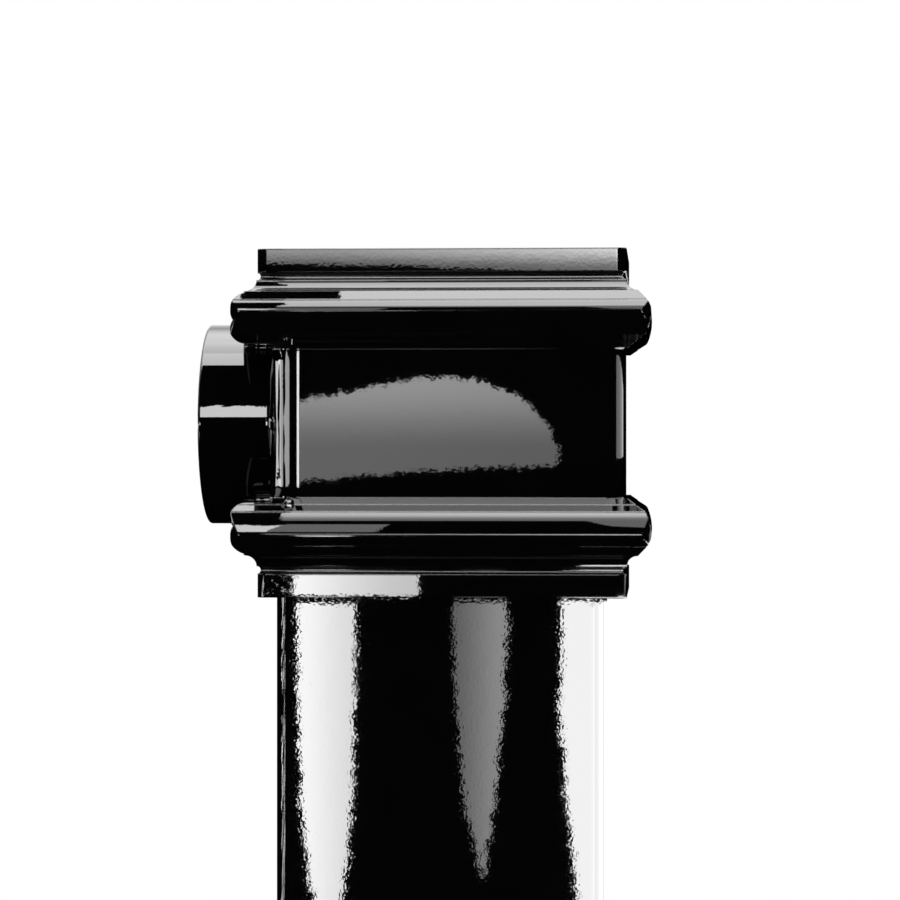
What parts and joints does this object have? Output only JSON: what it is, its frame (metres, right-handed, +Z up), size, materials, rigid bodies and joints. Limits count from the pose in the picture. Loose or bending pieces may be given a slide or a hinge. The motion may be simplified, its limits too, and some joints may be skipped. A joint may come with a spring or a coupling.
{
  "type": "rectangular downpipe",
  "caption": "Rectangular rainwater pipe seated in a moulded collar that is a socket at both ends, with a short round inlet stub on its wall side.",
  "frame": {"origin": "middle of the pipe's square-cut lower end", "axes": "+Z up the pipe to the open socket, -X toward the wall along the inlet stub, Y along the wall"},
  "size_m": [0.1422, 0.1036, 0.6965],
  "materials": {
    "paint": "gloss"
  },
  "bodies": {
    "root": {"pipe": "paint", "collar": "paint", "inlet_stub": "paint"}
  },
  "joints": []
}
